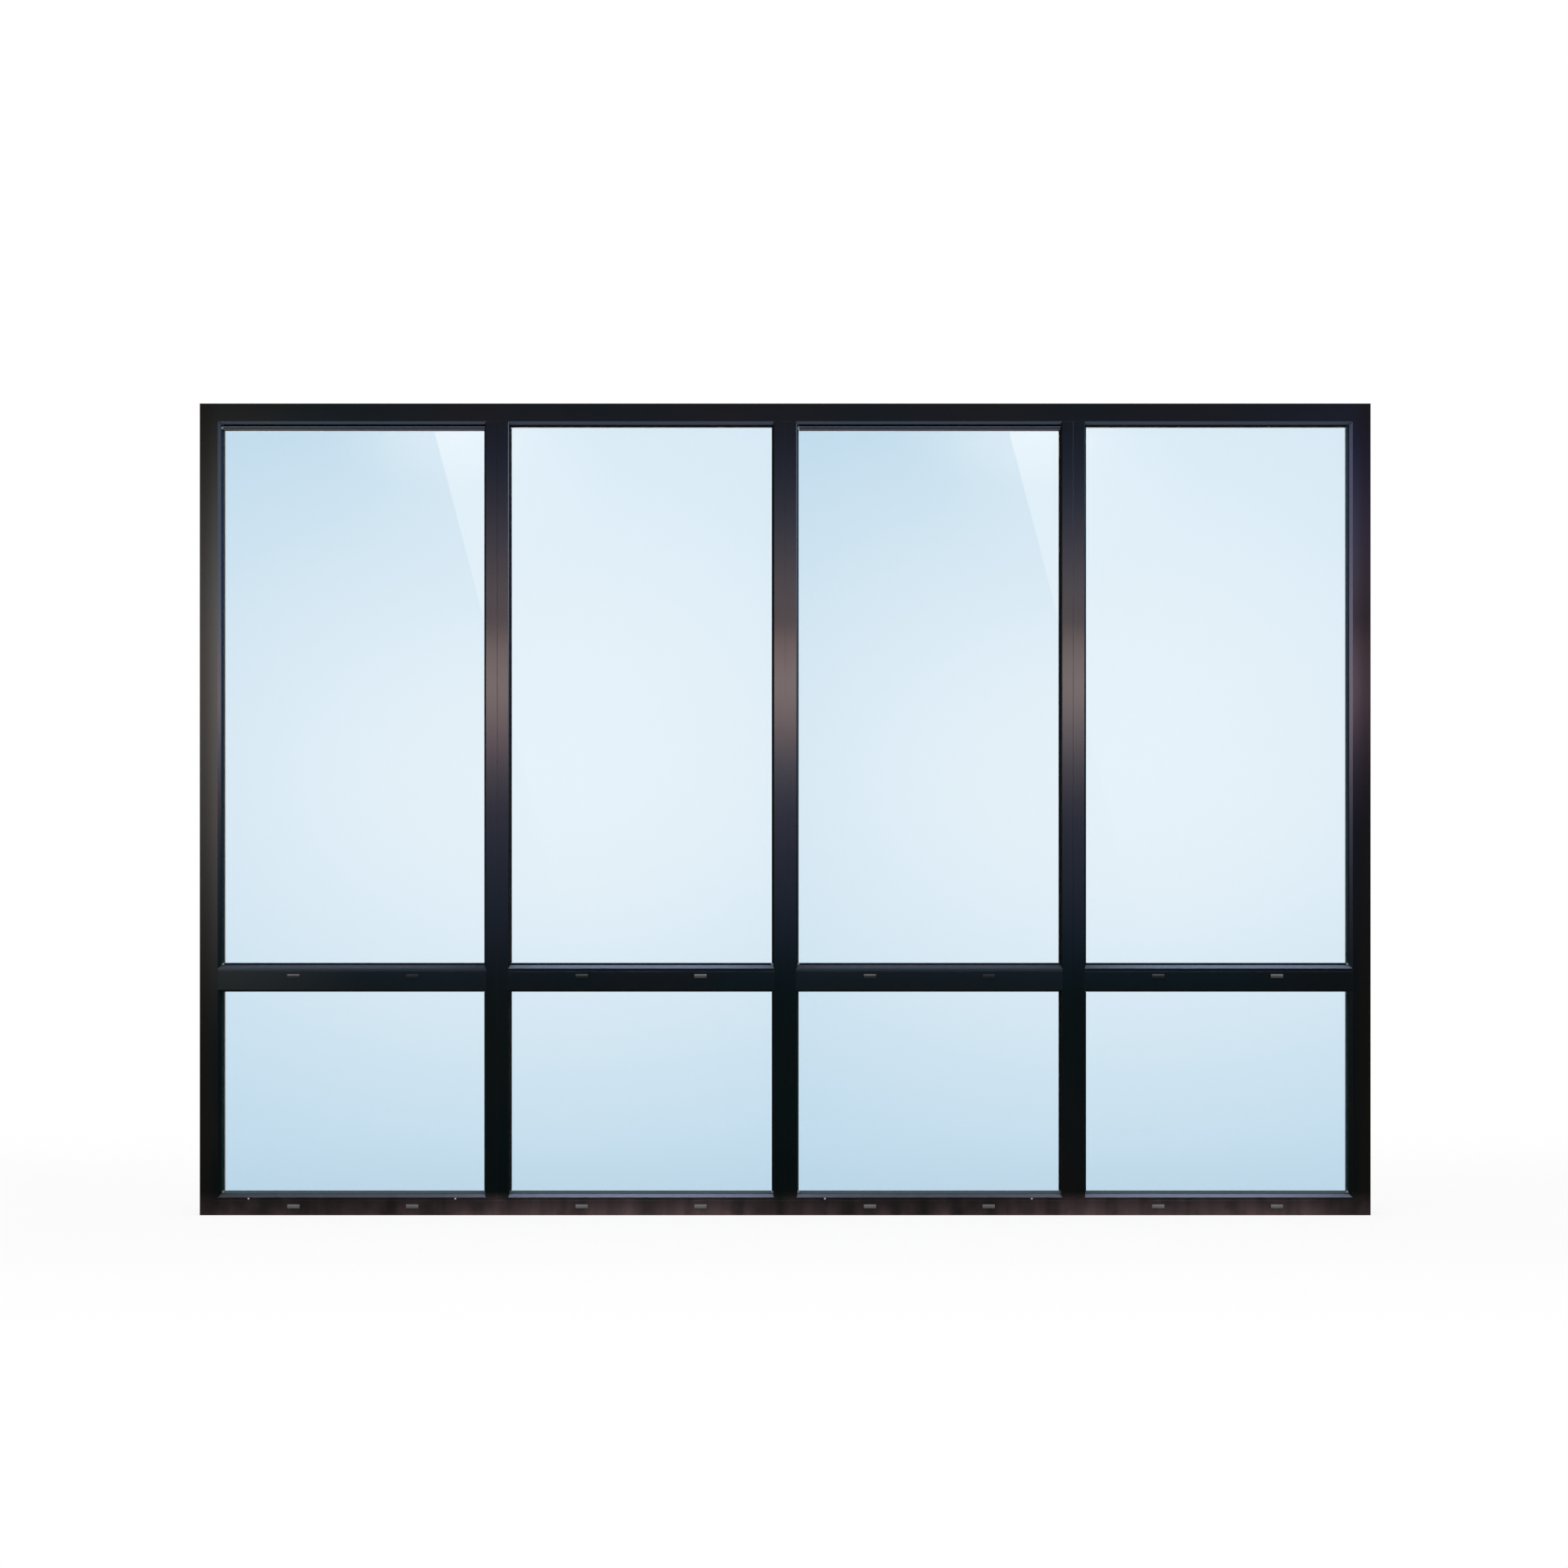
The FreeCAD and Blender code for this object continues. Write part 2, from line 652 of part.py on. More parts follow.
BEAD_CAVITY = f"({BEAD_FRONT} + root_depth + snap_gap + bead_wall)"
BEAD = [
    [
        ("0", BEAD_FRONT),
        *tongue(ROOT_MIDDLE, BEAD_FRONT, "+", "snap_gap"),
        ("leg_reach", BEAD_FRONT),
        ("leg_reach", f"{BEAD_BACK} - bead_bevel"),
        ("leg_reach - bead_bevel", BEAD_BACK),
        ("0", BEAD_BACK),
        *reversed(swapped(foot(FOOT_MIDDLE, "0", "-"))),
    ],
    chamber("bead_wall", "leg_reach - bead_wall", BEAD_CAVITY, f"{BEAD_BACK} - bead_wall"),
]
WEATHER_GASKET = gasket_section("leg_depth", "-", GLASS_FRONT)
ROOM_GASKET = gasket_section(BEAD_FRONT, "+", GLASS_BACK)
LIP = "leg_reach + gasket_lip"


def pane_ring(name, section, height, reach):
    return group(name, ring(name, [section] * 4, OPENING, height, reach, "mitre_gap"))


blocks = setting_blocks()
loose = {"weather_gaskets": [], "room_gaskets": [], "setting_blocks": []}
bay_beads = [[] for _ in BAY_LEFTS]
for row, height, z in (("upper", UPPER_HEIGHT, UPPER_SILL), ("lower", LOWER_HEIGHT, FRAME_FLOOR)):
    glass = unit_glass(height)
    spacer = unit_spacer(height)
    masters = {
        "weather_gaskets": pane_ring(f"{row}_weather", WEATHER_GASKET, height, LIP),
        "room_gaskets": pane_ring(f"{row}_room", ROOM_GASKET, height, LIP),
        "setting_blocks": blocks,
    }
    beads = pane_ring(f"{row}_bead", BEAD, height, "leg_reach")
    spacers = []
    for number, x in enumerate(BAY_LEFTS, start=1):
        spot = (x, FRONT, z)
        node(put(copy_of(glass), *spot), f"{row}_glass_{number}")
        spacers.append(put(copy_of(spacer), *spot))
        bay_beads[number - 1].append(put(copy_of(beads), *spot))
        for kind, master in masters.items():
            loose[kind].append(put(copy_of(master), *spot))
    node(group(f"{row}_spacer_copies", spacers), f"{row}_spacers")
for kind, pieces in loose.items():
    node(group(f"{kind}_copies", pieces), kind)
for number, pieces in enumerate(bay_beads, start=1):
    node(group(f"bead_copies_{number}", pieces), f"bay_{number}_beads")

# Two caps in each bay on the sill and on the transoms
for row, z in (("sill", "drain_level"), ("transom", "transom_level + drain_rise")):
    caps = []
    for middle in BAY_MIDDLES:
        for side in ("-", "+"):
            x = f"{LEFT} + {middle} {side} drain_spread"
            caps.append(put(copy_of(cap), x, FRONT, z))
    node(group(f"{row}_caps", caps), f"{row}_drain_caps")

doc.recompute()
for item in doc.Objects:
    if "Invalid" in item.State or "Error" in item.State:
        raise RuntimeError(f"{item.Label} did not build: {item.State}")
for piece in nodes:
    shape = Part.getShape(piece)
    if shape.isNull() or not shape.isValid():
        raise RuntimeError(f"{piece.Label} has no valid shape")

os.makedirs("parts", exist_ok=True)
for piece in nodes:
    shape = Part.getShape(piece)
    shape.exportStep(f"parts/{piece.Label}.step")
    volume = sum(solid.Volume for solid in shape.Solids)
    print(piece.Label, len(shape.Solids), "solids", round(volume), "mm3")
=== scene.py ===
# Fixed picture window: a dark thermally broken aluminium frame with four bays of pale insulating
# glass, a tall pane over a low one in each. X runs along the width, Z is up, and the weather
# side faces -Y, where the camera stands.
import math

import bmesh
import bpy
import numpy as np
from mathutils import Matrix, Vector


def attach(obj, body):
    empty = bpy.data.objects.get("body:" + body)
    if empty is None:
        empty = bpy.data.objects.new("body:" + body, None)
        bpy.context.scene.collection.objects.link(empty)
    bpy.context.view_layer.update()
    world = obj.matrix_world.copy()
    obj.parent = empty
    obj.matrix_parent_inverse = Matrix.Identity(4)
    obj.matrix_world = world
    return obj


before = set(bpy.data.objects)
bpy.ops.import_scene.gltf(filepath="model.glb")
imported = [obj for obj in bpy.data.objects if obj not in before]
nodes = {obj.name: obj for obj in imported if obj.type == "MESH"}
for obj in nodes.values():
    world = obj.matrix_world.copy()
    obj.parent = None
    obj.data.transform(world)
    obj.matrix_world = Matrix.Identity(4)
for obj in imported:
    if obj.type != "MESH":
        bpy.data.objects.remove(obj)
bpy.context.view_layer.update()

# Outer frame, mullions, transoms and glazing beads: extruded aluminium lengths, powder coated
# in a satin near-black bronze before they were cut. The coat is a little cloudy, has a fine
# orange-peel skin, and is paler along the arrises: wear, partly a painted highlight. The outer
# frame is mitred and crimped over corner cleats; mullions and transoms are end-milled and screwed.
BAY_PITCH = 0.73825


def add(tree, kind, inputs=None, **settings):
    """Adds a shader node, sets its properties, and sets or links the inputs named."""
    node = tree.nodes.new("ShaderNode" + kind)
    for name, value in settings.items():
        setattr(node, name, value)
    for name, value in (inputs or {}).items():
        if isinstance(value, bpy.types.NodeSocket):
            tree.links.new(value, node.inputs[name])
        else:
            node.inputs[name].default_value = value
    return node


def maths(tree, operation, *values, clamp=False):
    """The result of one sum on sockets and numbers."""
    inputs = dict(enumerate(values))
    return add(tree, "Math", inputs, operation=operation, use_clamp=clamp).outputs[0]


def passing(tree, value, start, stop, first=0.0, last=1.0, soft=False):
    """A number that goes from first to last while the value goes from start to stop.

    It rests before and after. The change is even, or soft at both ends.
    """
    inputs = {"Value": value, "From Min": start, "From Max": stop, "To Min": first, "To Max": last}
    course = "SMOOTHSTEP" if soft else "LINEAR"
    return add(tree, "MapRange", inputs, interpolation_type=course).outputs[0]


def blend_colours(tree, share, first, second):
    """The colour that lies share of the way from the first to the second."""
    inputs = {0: share, 6: first, 7: second}
    return add(tree, "Mix", inputs, data_type="RGBA").outputs[2]


def place_on_piece(tree):
    """The place of a point on its piece, as a vector and as X, Y and Z."""
    place = add(tree, "TexCoord").outputs["Object"]
    return place, *add(tree, "SeparateXYZ", {0: place}).outputs


def facing_up(tree):
    """How far a face looks up: one for level faces, none for upright ones."""
    return add(tree, "SeparateXYZ", {0: add(tree, "NewGeometry").outputs["Normal"]}).outputs["Z"]


def across_pair(tree, x):
    """Where X lies in its pair of bays, from minus two pitches to none.

    Dirt, shades and reflections repeat every two bays.
    """
    return maths(tree, "WRAP", x, 0.0, -2 * BAY_PITCH)


def relief(tree, height, strength, depth, **more):
    """The normal of a surface with a small relief."""
    inputs = {"Height": height, "Strength": strength, "Distance": depth, **more}
    return add(tree, "Bump", inputs).outputs[0]


def effect(name, numbers, outputs):
    """A node group with number inputs and outputs, and its input and output nodes."""
    tree = bpy.data.node_groups.new(name, "ShaderNodeTree")
    for label, value in numbers.items():
        socket = tree.interface.new_socket(label, in_out="INPUT", socket_type="NodeSocketFloat")
        socket.default_value = value
    for label in outputs:
        tree.interface.new_socket(label, in_out="OUTPUT", socket_type="NodeSocketFloat")
    return tree, tree.nodes.new("NodeGroupInput"), tree.nodes.new("NodeGroupOutput")


def use(tree, group, **numbers):
    """The outputs of a node group placed in a material with its own values."""
    node = tree.nodes.new("ShaderNodeGroup")
    node.node_tree = group
    for label, value in numbers.items():
        node.inputs[label.replace("_", " ")].default_value = value
    return node.outputs


def coated_skin():
    """Fine skin and slow clouds of a coated or moulded surface, in object space.

    The height is noise of one grain size, and the clouds are two slower noises, one of them
    drawn out along the vertical, both spread about a half.
    """
    sizes = {"grain size": 0.001, "cloud size": 0.3}
    tree, given, out = effect("coated_skin", sizes, ("height", "clouds", "streaks"))
    place = add(tree, "TexCoord").outputs["Object"]
    grain = maths(tree, "DIVIDE", 1.0, given.outputs["grain size"])
    cloud = maths(tree, "DIVIDE", 1.0, given.outputs["cloud size"])
    drawn = add(tree, "Mapping", {"Vector": place, "Scale": (9.0, 9.0, 0.8)}).outputs[0]
    fine = add(tree, "TexNoise", {"Vector": place, "Scale": grain, "Detail": 1.0})
    slow = add(tree, "TexNoise", {"Vector": place, "Scale": cloud, "Detail": 3.0})
    streaks = add(tree, "TexNoise", {"Vector": drawn, "Scale": cloud, "Detail": 2.0})
    tree.links.new(fine.outputs["Fac"], out.inputs["height"])
    tree.links.new(slow.outputs["Fac"], out.inputs["clouds"])
    tree.links.new(streaks.outputs["Fac"], out.inputs["streaks"])
    return tree


def upward_dust_and_sheen():
    """A mask for upward faces, broken up by a speckle of noise: dust, and on the gaskets painted
    sheen.
    """
    tree, given, out = effect("upward_dust_and_sheen", {"amount": 0.3}, ("mask",))
    place = add(tree, "TexCoord").outputs["Object"]
    speckle = add(tree, "TexNoise", {"Vector": place, "Scale": 60.0, "Detail": 4.0})
    upward = maths(tree, "MULTIPLY", facing_up(tree), given.outputs["amount"], clamp=True)
    broken = maths(tree, "MULTIPLY", upward, speckle.outputs["Fac"], clamp=True)
    tree.links.new(broken, out.inputs["mask"])
    return tree


def finish_named(name):
    """A new material, its tree and its Principled shader."""
    material = bpy.data.materials.new(name)
    material.use_nodes = True
    return material, material.node_tree, material.node_tree.nodes["Principled BSDF"]


def feed(tree, shader, **sockets):
    """Sets or links the shader's inputs."""
    for label, value in sockets.items():
        socket = shader.inputs[label.replace("_", " ")]
        if isinstance(value, bpy.types.NodeSocket):
            tree.links.new(value, socket)
        else:
            socket.default_value = value


def dress(material, *names):
    """Gives CAD nodes their finish."""
    for name in names:
        for slot in nodes[name].material_slots:
            slot.material = material


skin_group = coated_skin()
dust_and_sheen_group = upward_dust_and_sheen()


def powder_coat(name, shine, cool, painted_tint=0.0):
    """Near-black satin coat in cool and bronze clouds; each edge has wear and a painted highlight.

    The frame's outer edge is less glossy and painted browner, where the sheen fades across the
    jambs. The lowest few centimetres carry splashed dirt and a painted warm sheen in blots, less
    of it towards the outer side of each pair of bays. The last argument is the strength of a
    painted bluish-grey highlight line along the transoms.
    """
    fade_from, fade_to, arris = 1.452, 1.490, 0.0006
    low_band_top, line_height, half_line = 0.06, 0.6294, 0.0031
    material, tree, shader = finish_named(name)
    skin = use(tree, skin_group, grain_size=0.0011, cloud_size=0.42)
    dust = use(tree, dust_and_sheen_group, amount=0.16)
    place, x, _, z = place_on_piece(tree)
    warm = maths(tree, "MULTIPLY_ADD", skin["clouds"], 3.0, -1.3, clamp=True)
    colour = blend_colours(tree, warm, (*cool, 1), (0.0042, 0.0036, 0.0037, 1))
    # Outer edge of the frame: less gloss, and painted browner where the sheen fades across the
    # jambs.
    sheen_fade = passing(tree, maths(tree, "ABSOLUTE", x), fade_from, fade_to, soft=True)
    colour = blend_colours(tree, sheen_fade, colour, (0.0062, 0.0058, 0.0052, 1))
    # Pale arrises: edge wear, partly a painted highlight along the edges.
    rounded = add(tree, "Bevel", {"Radius": arris}, samples=4).outputs[0]
    both = {0: rounded, 1: add(tree, "NewGeometry").outputs["Normal"]}
    turn = add(tree, "VectorMath", both, operation="DOT_PRODUCT").outputs["Value"]
    worn_and_lit = maths(tree, "MULTIPLY", maths(tree, "SUBTRACT", 1.0, turn), 1.5, clamp=True)
    colour = blend_colours(tree, worn_and_lit, colour, (0.028, 0.027, 0.026, 1))
    colour = blend_colours(tree, dust["mask"], colour, (0.16, 0.15, 0.13, 1))
    # Low on the frame: splashed dirt and a painted warm sheen in pinkish brown blots.
    splash_and_sheen = passing(tree, z, 0.0, low_band_top, 0.9, 0.0)
    splash_and_sheen = maths(tree, "MULTIPLY", splash_and_sheen, skin["streaks"])
    pair_x = across_pair(tree, x)
    first_bay = passing(tree, pair_x, -1.0, -0.65, 0.45, 1.0, soft=True)
    pair_end = passing(tree, pair_x, -0.17, 0.0, 1.0, 0.45, soft=True)
    blots = add(tree, "TexNoise", {"Vector": place, "Scale": 21.0})
    blots = maths(tree, "MULTIPLY_ADD", blots.outputs["Fac"], 1.6, 0.2)
    mud_and_sheen = maths(tree, "MULTIPLY", maths(tree, "MULTIPLY", first_bay, pair_end), blots)
    mud_and_sheen = blend_colours(tree, mud_and_sheen, (0.0, 0.0, 0.0, 1), (0.185, 0.120, 0.122, 1))
    colour = blend_colours(tree, splash_and_sheen, colour, mud_and_sheen)
    # Painted highlight: a bluish-grey line along the transoms, as strong as the last argument.
    highlight_line = maths(tree, "COMPARE", z, line_height, half_line)
    highlight_line = maths(tree, "MULTIPLY", highlight_line, painted_tint)
    colour = blend_colours(tree, highlight_line, colour, (0.022, 0.032, 0.044, 1))
    roughness = maths(tree, "MULTIPLY_ADD", skin["streaks"], 0.08, 0.18)
    orange_peel = relief(tree, skin["height"], 0.25, 0.00006, Normal=rounded)
    gloss = maths(tree, "MULTIPLY_ADD", sheen_fade, -0.5 * shine, shine)
    feed(tree, shader, Base_Color=colour, Roughness=roughness, Normal=orange_peel)
    feed(tree, shader, Specular_IOR_Level=gloss)
    return material


FRAME_SIDES = ("left_jamb", "head", "right_jamb", "sill")
MULLIONS = ("mullion_left", "mullion_centre", "mullion_right")
NUMBERS = (1, 2, 3, 4)
SHELLS = ("front", "back")
BRONZE = (0.0001, 0.0027, 0.0030)
metal = [f"{part}_{shell}" for part in FRAME_SIDES + MULLIONS for shell in SHELLS]
metal += [f"bay_{number}_beads" for number in NUMBERS]
dress(powder_coat("bronze_powder_coat", 0.03, BRONZE), *metal)
# The transoms get lighter, cooler copies of the coat as painted teal reflection, strongest on the
# first and third, which also carry the painted highlight line.
sheened = [f"transom_{number}_{shell}" for number in (1, 3) for shell in SHELLS]
clean = [f"transom_{number}_{shell}" for number in (2, 4) for shell in SHELLS]
dress(powder_coat("strong_teal_sheen_coat", 0.03, (0.0034, 0.0070, 0.0084), painted_tint=0.8), *sheened)
dress(powder_coat("teal_sheen_coat", 0.03, (0.0012, 0.0046, 0.0054)), *clean)
metal += sheened + clean

# Thermal strips: glass-filled plastic webs rolled into dovetails between the two shells. They
# show at the frame's perimeter and round the rebate. Black, matt, with pale fibre ends.


def filled_plastic():
    """Black plastic in which the ends of short pale fibres show where a fine noise is high."""
    material, tree, shader = finish_named("glass_filled_plastic")
    place = add(tree, "TexCoord").outputs["Object"]
    fibres = add(tree, "TexNoise", {"Vector": place, "Scale": 1400.0, "Detail": 2.0})
    fibres = fibres.outputs["Fac"]
    pale = maths(tree, "GREATER_THAN", fibres, 0.64)
    colour = blend_colours(tree, pale, (0.012, 0.012, 0.013, 1), (0.05, 0.05, 0.052, 1))
    bump = relief(tree, fibres, 0.3, 0.00005)
    feed(tree, shader, Base_Color=colour, Roughness=0.62, Normal=bump)
    return material


strips = [f"{part}_thermal_strips" for part in ("frame_level", "frame_upright")]
strips += ["mullion_thermal_strips", "transom_thermal_strips"]
dress(filled_plastic(), *strips)

# Insulating units: two sheets of float glass with a pale blue cast, and a painted reflection
# over it: the cast deepens away from a light patch in the middle of each pair of bays.
# The sheets are flat to a few hundredths of a millimetre, which moves reflections a little.


def pale_glass():
    """Clear float glass with a blue cast and a painted reflection over each pair of bays.

    The cast deepens smoothly with the distance from the painted light patch, where a metre
    across counts as two thirds of a metre, and repeats every two bays.
    """
    glow_x, glow_z, reach = -0.60, 1.12, 1.351
    material, tree, shader = finish_named("pale_blue_glass")
    place, x, _, z = place_on_piece(tree)
    across = maths(tree, "MULTIPLY", maths(tree, "SUBTRACT", across_pair(tree, x), glow_x), 0.65)
    up = maths(tree, "SUBTRACT", z, glow_z)
    square = maths(tree, "MULTIPLY_ADD", up, up, maths(tree, "MULTIPLY", across, across))
    away = maths(tree, "DIVIDE", maths(tree, "SQRT", square), reach, clamp=True)
    glow_fade = passing(tree, maths(tree, "POWER", away, 1.1), 0.0, 1.0, soft=True)
    # Painted reflection: lighter glass round the patch, deeper blue away from it.
    light, deep = (0.879, 0.935, 0.972, 1), (0.693, 0.821, 0.904, 1)
    colour = blend_colours(tree, glow_fade, light, deep)
    wave = add(tree, "TexNoise", {"Vector": place, "Scale": 3.0, "Detail": 1.0})
    bump = relief(tree, wave.outputs["Fac"], 1.0, 0.00004)
    feed(tree, shader, Base_Color=colour, Roughness=0.0, Normal=bump)
    feed(tree, shader, Transmission_Weight=1.0, IOR=1.5)
    return material


panes = [f"{row}_glass_{number}" for row in ("upper", "lower") for number in NUMBERS]
dress(pale_glass(), *panes)
for name in panes:
    nodes[name].visible_shadow = False

# Spacers: bent mill-finish bars that hold the sheets apart and hold drying beads. A row of
# small breathing slots, drawn as painted shade, runs down the middle of the side facing the
# cavity.


def spacer_metal():
    """Drawn aluminium with fine lines, and a row of slots in painted shade along the middle of the
    bar.
    """
    slot_pitch, slot_length, bar_middle, half_slot = 0.006, 0.0022, -0.020, 0.0005
    material, tree, shader = finish_named("mill_finish_bar")
    place, x, y, z = place_on_piece(tree)
    across = add(tree, "Mapping", {"Vector": place, "Scale": (1.0, 900.0, 1.0)}).outputs[0]
    lines = add(tree, "TexNoise", {"Vector": across, "Scale": 3.0, "Detail": 3.0})
    lines = lines.outputs["Fac"]
    bright, dull = (0.62, 0.63, 0.65, 1), (0.42, 0.43, 0.45, 1)
    colour = blend_colours(tree, lines, bright, dull)
    level_bar = maths(tree, "GREATER_THAN", maths(tree, "ABSOLUTE", facing_up(tree)), 0.5)
    along = add(tree, "Mix", {0: level_bar, 2: z, 3: x}, data_type="FLOAT").outputs[0]
    # The slots are no holes: their dark colour is painted shade.
    slot = maths(tree, "LESS_THAN", maths(tree, "WRAP", along, 0.0, slot_pitch), slot_length)
    slot = maths(tree, "MULTIPLY", slot, maths(tree, "COMPARE", y, bar_middle, half_slot))
    colour = blend_colours(tree, slot, colour, (0.02, 0.02, 0.02, 1))
    bump = relief(tree, lines, 0.4, 0.0001)
    feed(tree, shader, Base_Color=colour, Roughness=0.38, Metallic=1.0, Normal=bump)
    return material


dress(spacer_metal(), "upper_spacers", "lower_spacers")

# Setting blocks: hard black plastic pads, two under each unit at the quarter points of its
# width, set with a glazing shovel and held by the unit's weight.


def block_plastic():
    """Black plastic with a fine skin and a slightly greyer bloom in places."""
    material, tree, shader = finish_named("setting_block_plastic")
    skin = use(tree, skin_group, grain_size=0.0008, cloud_size=0.09)
    black, bloomed = (0.014, 0.014, 0.015, 1), (0.027, 0.027, 0.029, 1)
    colour = blend_colours(tree, skin["clouds"], black, bloomed)
    bump = relief(tree, skin["height"], 0.35, 0.0001)
    feed(tree, shader, Base_Color=colour, Roughness=0.5, Normal=bump)
    return material


dress(block_plastic(), "setting_blocks")

# Gaskets: black extruded rubber lengths, rolled into grooves in the legs on the weather side
# and in the beads on the room side, and cut to a mitre at the corners.


def gasket_rubber():
    """Black rubber with a matt skin and a bluish painted sheen on faces that look up.

    Along the sill it is a paler blue-grey. The left-hand gaskets of the first and third bays
    and the right jamb's carry a painted sheen, teal near the ground and blue higher up.
    """
    sheen_from, pale_full, pale_top = 1.4405, 0.057, 0.064
    material, tree, shader = finish_named("gasket_rubber")
    skin = use(tree, skin_group, grain_size=0.0004, cloud_size=0.09)
    painted_sheen = use(tree, dust_and_sheen_group, amount=0.2)
    matt, greyer = (0.0020, 0.0024, 0.0032, 1), (0.0045, 0.0050, 0.0065, 1)
    colour = blend_colours(tree, skin["clouds"], matt, greyer)
    # Painted sheen: faces that look up are tinted bright blue.
    colour = blend_colours(tree, painted_sheen["mask"], colour, (0.040, 0.130, 0.300, 1))
    _, x, _, z = place_on_piece(tree)
    # Painted sheen on the left-hand gaskets of bays one and three and on the right jamb's.
    teal, blue = (0.004, 0.024, 0.024, 1), (0.026, 0.048, 0.080, 1)
    painted_tint = blend_colours(tree, passing(tree, z, 0.6, 1.5), teal, blue)
    sheened = maths(tree, "LESS_THAN", across_pair(tree, x), -sheen_from)
    sheened = maths(tree, "MAXIMUM", sheened, maths(tree, "GREATER_THAN", x, sheen_from))
    colour = blend_colours(tree, maths(tree, "MULTIPLY", sheened, 0.8), colour, painted_tint)
    # Paler blue-grey along the sill.
    sill_pale = passing(tree, z, pale_full, pale_top, 0.8, 0.0)
    colour = blend_colours(tree, sill_pale, colour, (0.095, 0.135, 0.165, 1))
    bump = relief(tree, skin["height"], 0.35, 0.0001)
    feed(tree, shader, Base_Color=colour, Roughness=0.66, Normal=bump)
    feed(tree, shader, Specular_IOR_Level=0.05)
    return material


dress(gasket_rubber(), "weather_gaskets", "room_gaskets")

# Drain caps: moulded plastic hoods pushed into the drain slots of the sill and transoms. Rain
# leaves a little dirt on their sloping roofs. Those of the sill are grey. The transoms' caps are
# in four shades, grey to nearly black, the same every two bays, with painted shade on their
# fronts.


def cap_plastic(name, shades, fade):
    """Plastic finely grained by its mould, in four shades for the caps of each two bays.

    Roofs keep the full shade and upright faces are painted in shade: an upright face is as pale
    as its roof times the shade to the power of fade.
    """
    material, tree, shader = finish_named(name)
    skin = use(tree, skin_group, grain_size=0.0005, cloud_size=0.02)
    dust = use(tree, dust_and_sheen_group, amount=0.5)
    pale, dark = (0.170, 0.170, 0.172, 1), (0.100, 0.100, 0.102, 1)
    colour = blend_colours(tree, skin["clouds"], pale, dark)
    colour = blend_colours(tree, dust["mask"], colour, (0.24, 0.22, 0.19, 1))
    _, x, _, _ = place_on_piece(tree)
    along = passing(tree, across_pair(tree, x), -2 * BAY_PITCH, 0.0)
    shade_ramp = add(tree, "ValToRGB", {"Fac": along})
    shade_ramp.color_ramp.interpolation = "CONSTANT"
    stops = shade_ramp.color_ramp.elements
    stops[1].position = 0.25
    for start in (0.5, 0.75):
        stops.new(start)
    for stop, shade in zip(stops, shades):
        stop.color = (shade, shade, shade, 1)
    shade = shade_ramp.outputs["Color"]
    # Painted shade: upright faces of the transoms' caps are darker than their roofs.
    lit_roof = maths(tree, "GREATER_THAN", facing_up(tree), 0.3)
    lit_roof = maths(tree, "MAXIMUM", lit_roof, maths(tree, "POWER", shade, fade))
    share = maths(tree, "MULTIPLY", shade, lit_roof)
    colour = blend_colours(tree, share, (0.004, 0.007, 0.007, 1), colour)
    bump = relief(tree, skin["height"], 0.3, 0.00008)
    feed(tree, shader, Base_Color=colour, Roughness=0.42, Normal=bump)
    feed(tree, shader, Specular_IOR_Level=0.15)
    return material


dress(cap_plastic("sill_cap_plastic", (0.9, 0.8, 1.0, 1.0), 0.0), "sill_drain_caps")
dress(cap_plastic("transom_cap_plastic", (0.7, 0.0, 0.3, 0.88), 6.0), "transom_drain_caps")

# Cover strips: slim folded aluminium strips that close the wider gap under the head of the
# first and third bays. They lie in front of the gasket, clear of the leg, and are coated with
# the frame, a little glossier. Their face slopes back to a narrow upright lip.


def rounded_profile(corners, radius, steps):
    """A closed outline whose corners are parabolic arcs that start a radius from each corner."""
    corners = np.array(corners)
    before, after = np.roll(corners, 1, axis=0) - corners, np.roll(corners, -1, axis=0) - corners
    before *= radius / np.linalg.norm(before, axis=1, keepdims=True)
    after *= radius / np.linalg.norm(after, axis=1, keepdims=True)
    turn = np.linspace(0, 1, steps)[None, :, None]
    arcs = corners[:, None] + (1 - turn) ** 2 * before[:, None] + turn ** 2 * after[:, None]
    return arcs.reshape(-1, 2)


def closed_piece(name, points, material):
    """One or more closed skins: a grid of points each, rows closed on themselves, ends flat.

    The points are numbered by skin, row, column and axis.
    """
    index = np.arange(points[..., 0].size).reshape(points.shape[:3])
    ahead = np.roll(index, -1, axis=2)
    quads = np.stack([index[:, :-1], index[:, 1:], ahead[:, 1:], ahead[:, :-1]], axis=-1)
    faces = quads.reshape(-1, 4).tolist() + index[:, 0].tolist() + index[:, -1].tolist()
    mesh = bpy.data.meshes.new(name)
    mesh.from_pydata(points.reshape(-1, 3).tolist(), [], faces)
    skin = bmesh.new()
    skin.from_mesh(mesh)
    bmesh.ops.recalc_face_normals(skin, faces=skin.faces)
    skin.to_mesh(mesh)
    skin.free()
    mesh.shade_smooth()
    mesh.set_sharp_from_angle(angle=math.radians(35))
    mesh.materials.append(material)
    piece = bpy.data.objects.new(name, mesh)
    bpy.context.scene.collection.objects.link(piece)
    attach(piece, "root")


